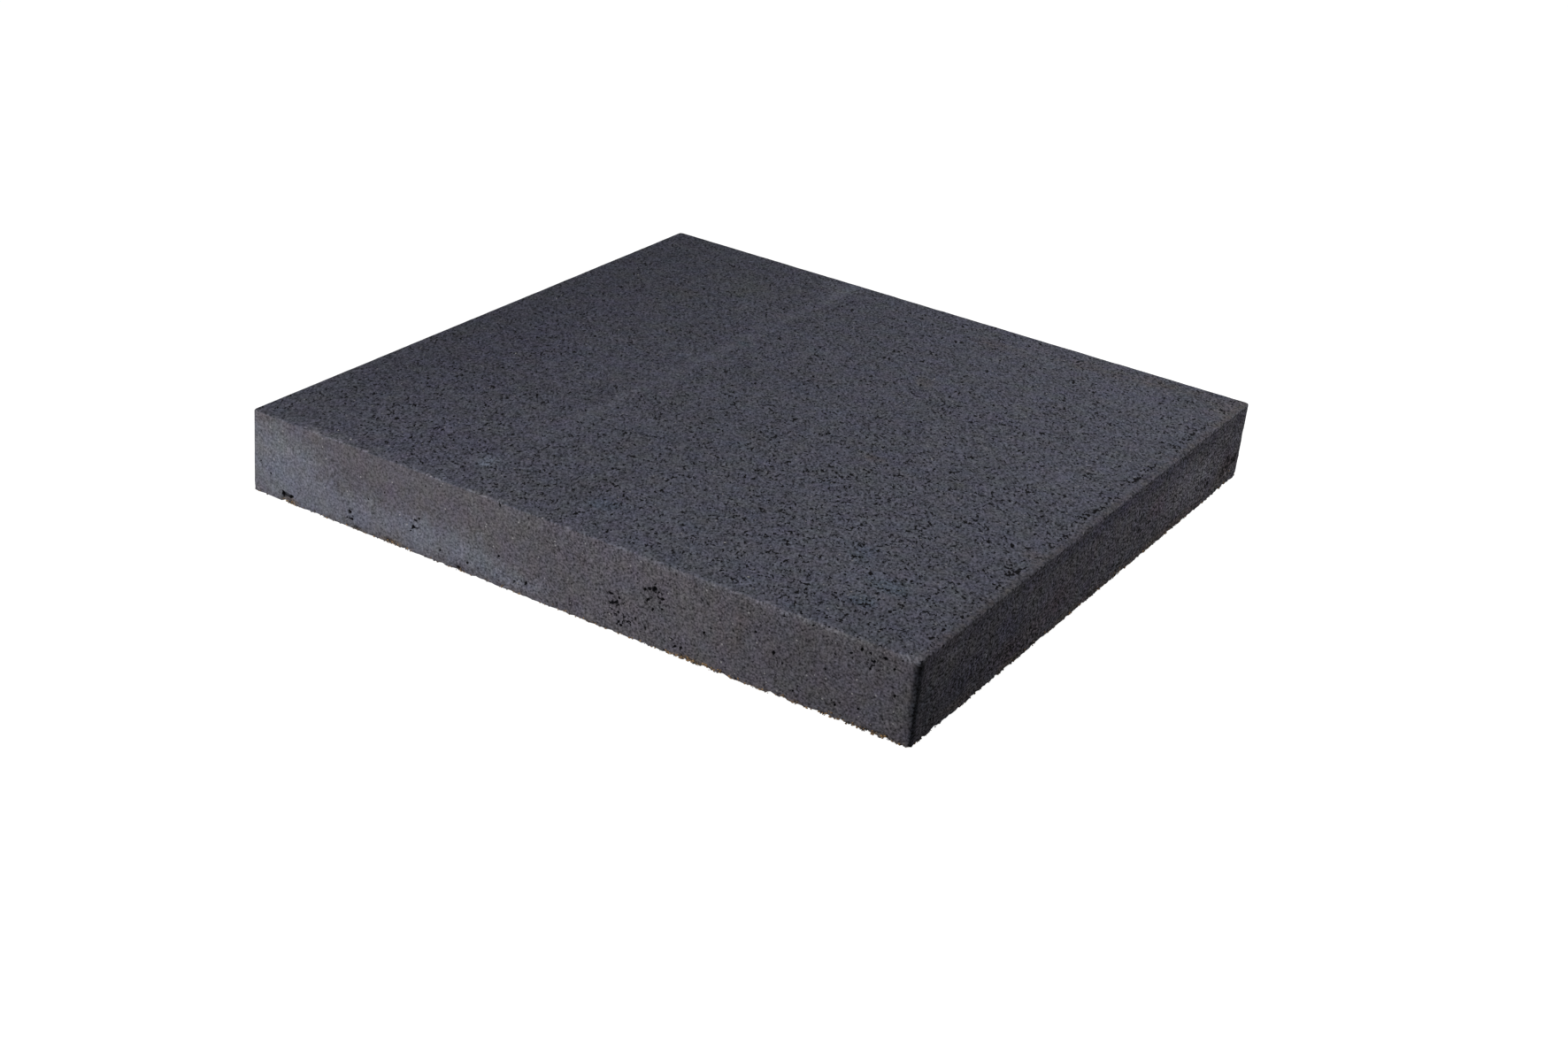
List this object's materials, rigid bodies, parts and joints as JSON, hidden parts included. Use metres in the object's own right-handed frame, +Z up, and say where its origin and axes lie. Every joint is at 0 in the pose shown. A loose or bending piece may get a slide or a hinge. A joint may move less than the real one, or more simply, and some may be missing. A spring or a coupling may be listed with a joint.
{
  "type": "concrete paving slab",
  "caption": "Square dark grey concrete paving slab, pressed in one piece, for laying flat as a walking surface on paths and terraces.",
  "frame": {"origin": "centre of the bed face, on which the slab lies", "axes": "+Z up through the thickness, towards the walking face; X and Y along the two equal plan sides"},
  "size_m": [0.6, 0.6, 0.07],
  "materials": {
    "concrete": "matt, dark blue-grey, fine open pores as pressed"
  },
  "bodies": {
    "root": {"paving_slab": "concrete"}
  },
  "joints": []
}
